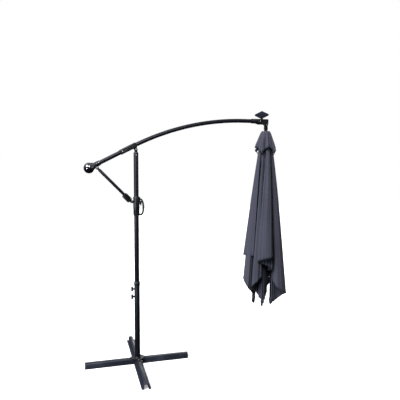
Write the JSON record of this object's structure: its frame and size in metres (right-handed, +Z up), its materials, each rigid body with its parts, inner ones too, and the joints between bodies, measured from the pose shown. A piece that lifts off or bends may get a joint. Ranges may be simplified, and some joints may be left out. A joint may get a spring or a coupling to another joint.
{
  "type": "cantilever parasol",
  "caption": "Free-standing cantilever parasol: cross base, mast, curved arm on a sliding strut, and a square canopy hanging closed from the arm's tip under a small solar panel.",
  "frame": {"origin": "on the mast's axis at the level of the floor, at the middle of the crossed base bars", "axes": "+Z up along the mast, +X from the mast towards the canopy, +Y away from a viewer who has the canopy on the right"},
  "size_m": [2.0113, 1, 2.4294],
  "materials": {
    "base_paint": "satin",
    "frame_paint": "satin",
    "black_plastic": "satin",
    "gloss_plastic": "gloss",
    "steel": "satin",
    "rubber": "matte",
    "solar_glass": "gloss",
    "canopy_fabric": "matte"
  },
  "bodies": {
    "base": {"base_bar_long": "base_paint", "base_bar_cross": "base_paint", "base_centre_block": "black_plastic", "foot_flange": "frame_paint", "foot_bolt_1": "steel", "foot_bolt_2": "steel", "foot_bolt_3": "steel", "foot_bolt_4": "steel", "lower_mast_tube": "frame_paint", "mast_collar": "black_plastic"},
    "screw_upper": {"thumb_screw_upper": "black_plastic"},
    "screw_lower": {"thumb_screw_lower": "black_plastic"},
    "mast": {"upper_mast_tube": "frame_paint", "mast_head": "black_plastic", "mast_head_rivet": "steel"},
    "arm": {"arm_tube": "frame_paint", "arm_bracket": "black_plastic", "bracket_bolt": "steel", "arm_hinge_pin": "steel", "rear_housing_front": "gloss_plastic", "rear_housing_back": "gloss_plastic", "rear_pulley_axle": "steel", "tip_casting": "black_plastic", "tip_pulley_axle": "steel", "hanger_pin": "steel"},
    "pulley_rear": {"rear_pulley": "black_plastic"},
    "pulley_tip": {"tip_pulley": "black_plastic"},
    "panel_post": {"solar_post": "black_plastic"},
    "panel": {"solar_case": "black_plastic", "solar_glass": "solar_glass"},
    "slider": {"slider_shell_front": "black_plastic", "slider_shell_back": "black_plastic", "strut_foot_pin": "steel"},
    "trigger": {"release_trigger": "black_plastic"},
    "shoe": {"brake_shoe": "rubber"},
    "strut": {"strut_tube": "frame_paint", "strut_eye": "black_plastic", "strut_eye_pin": "steel", "strut_foot": "black_plastic", "winder_case_front": "black_plastic", "winder_case_back": "black_plastic"},
    "crank": {"winder_crank": "frame_paint", "cord_spool": "black_plastic"},
    "knob": {"crank_knob": "black_plastic"},
    "hanger": {"hanger": "frame_paint", "canopy_pin": "steel"},
    "canopy": {"canopy_hub": "black_plastic", "canopy_pole": "frame_paint", "canopy_runner": "black_plastic", "short_rib_1": "frame_paint", "long_rib_1": "frame_paint", "short_rib_2": "frame_paint", "long_rib_2": "frame_paint", "short_rib_3": "frame_paint", "long_rib_3": "frame_paint", "short_rib_4": "frame_paint", "long_rib_4": "frame_paint", "canopy_cloth": "canopy_fabric", "vent_cloth": "canopy_fabric"}
  },
  "joints": [
    {"name": "mast_swivel", "type": "hinge", "parent": "base", "child": "mast", "pos_m": [0, 0, 0.758], "axis": [0, 0, 1], "continuous": true},
    {"name": "screw_upper_turn", "type": "hinge", "parent": "base", "child": "screw_upper", "pos_m": [-0.04, 0, 0.725], "axis": [-1, 0, 0], "continuous": true},
    {"name": "screw_lower_turn", "type": "hinge", "parent": "base", "child": "screw_lower", "pos_m": [-0.04, 0, 0.651], "axis": [-1, 0, 0], "continuous": true},
    {"name": "arm_lift", "type": "hinge", "parent": "mast", "child": "arm", "pos_m": [0, 0, 2.035], "axis": [0, 1, 0], "range_deg": [-6, 16]},
    {"name": "slider_travel", "type": "slide", "parent": "mast", "child": "slider", "axis": [0, 0, 1], "range_m": [-0.055, 0.143]},
    {"name": "strut_pivot", "type": "hinge", "parent": "slider", "child": "strut", "pos_m": [-0.046, 0, 1.556], "axis": [0, 1, 0], "range_deg": [-8, 3.5]},
    {"name": "trigger_pull", "type": "hinge", "parent": "slider", "child": "trigger", "pos_m": [0.043, 0, 1.552], "axis": [0, -1, 0], "range_deg": [0, 12], "stiffness_Nm_per_rad": 0.4, "springref_deg": -5.73},
    {"name": "shoe_travel", "type": "slide", "parent": "slider", "child": "shoe", "axis": [1, 0, 0], "range_m": [0, 0.0016]},
    {"name": "crank_turn", "type": "hinge", "parent": "strut", "child": "crank", "pos_m": [-0.07826, 0, 1.58599], "axis": [0, -1, 0], "continuous": true},
    {"name": "knob_spin", "type": "hinge", "parent": "crank", "child": "knob", "pos_m": [-0.10473, -0.038, 1.63007], "axis": [0, -1, 0], "continuous": true},
    {"name": "rear_pulley_turn", "type": "hinge", "parent": "arm", "child": "pulley_rear", "pos_m": [-0.42638, 0, 1.86823], "axis": [0, -1, 0], "continuous": true},
    {"name": "tip_pulley_turn", "type": "hinge", "parent": "arm", "child": "pulley_tip", "pos_m": [1.27, 0, 2.31185], "axis": [0, -1, 0], "continuous": true},
    {"name": "hanger_hang", "type": "hinge", "parent": "arm", "child": "hanger", "pos_m": [1.296, 0, 2.288], "axis": [0, 1, 0], "range_deg": [-17, 7]},
    {"name": "canopy_swing", "type": "hinge", "parent": "hanger", "child": "canopy", "pos_m": [1.296, 0, 2.246], "axis": [1, 0, 0], "range_deg": [-12, 12]},
    {"name": "panel_swivel", "type": "hinge", "parent": "arm", "child": "panel_post", "pos_m": [1.25, 0, 2.34], "axis": [0, 0, 1], "range_deg": [-25, 25]},
    {"name": "panel_tilt", "type": "hinge", "parent": "panel_post", "child": "panel", "pos_m": [1.25, 0, 2.372], "axis": [0.8829, -0.4695, 0], "range_deg": [-30, 5]}
  ],
  "couplings": [
    {"joint": "slider_travel", "follows": "arm_lift", "m_per_rad": 0.507},
    {"joint": "strut_pivot", "follows": "arm_lift", "ratio": -0.45},
    {"joint": "hanger_hang", "follows": "arm_lift", "ratio": -1},
    {"joint": "shoe_travel", "follows": "trigger_pull", "m_per_rad": 0.0072},
    {"joint": "rear_pulley_turn", "follows": "crank_turn", "ratio": 0.36},
    {"joint": "tip_pulley_turn", "follows": "crank_turn", "ratio": 0.95}
  ]
}
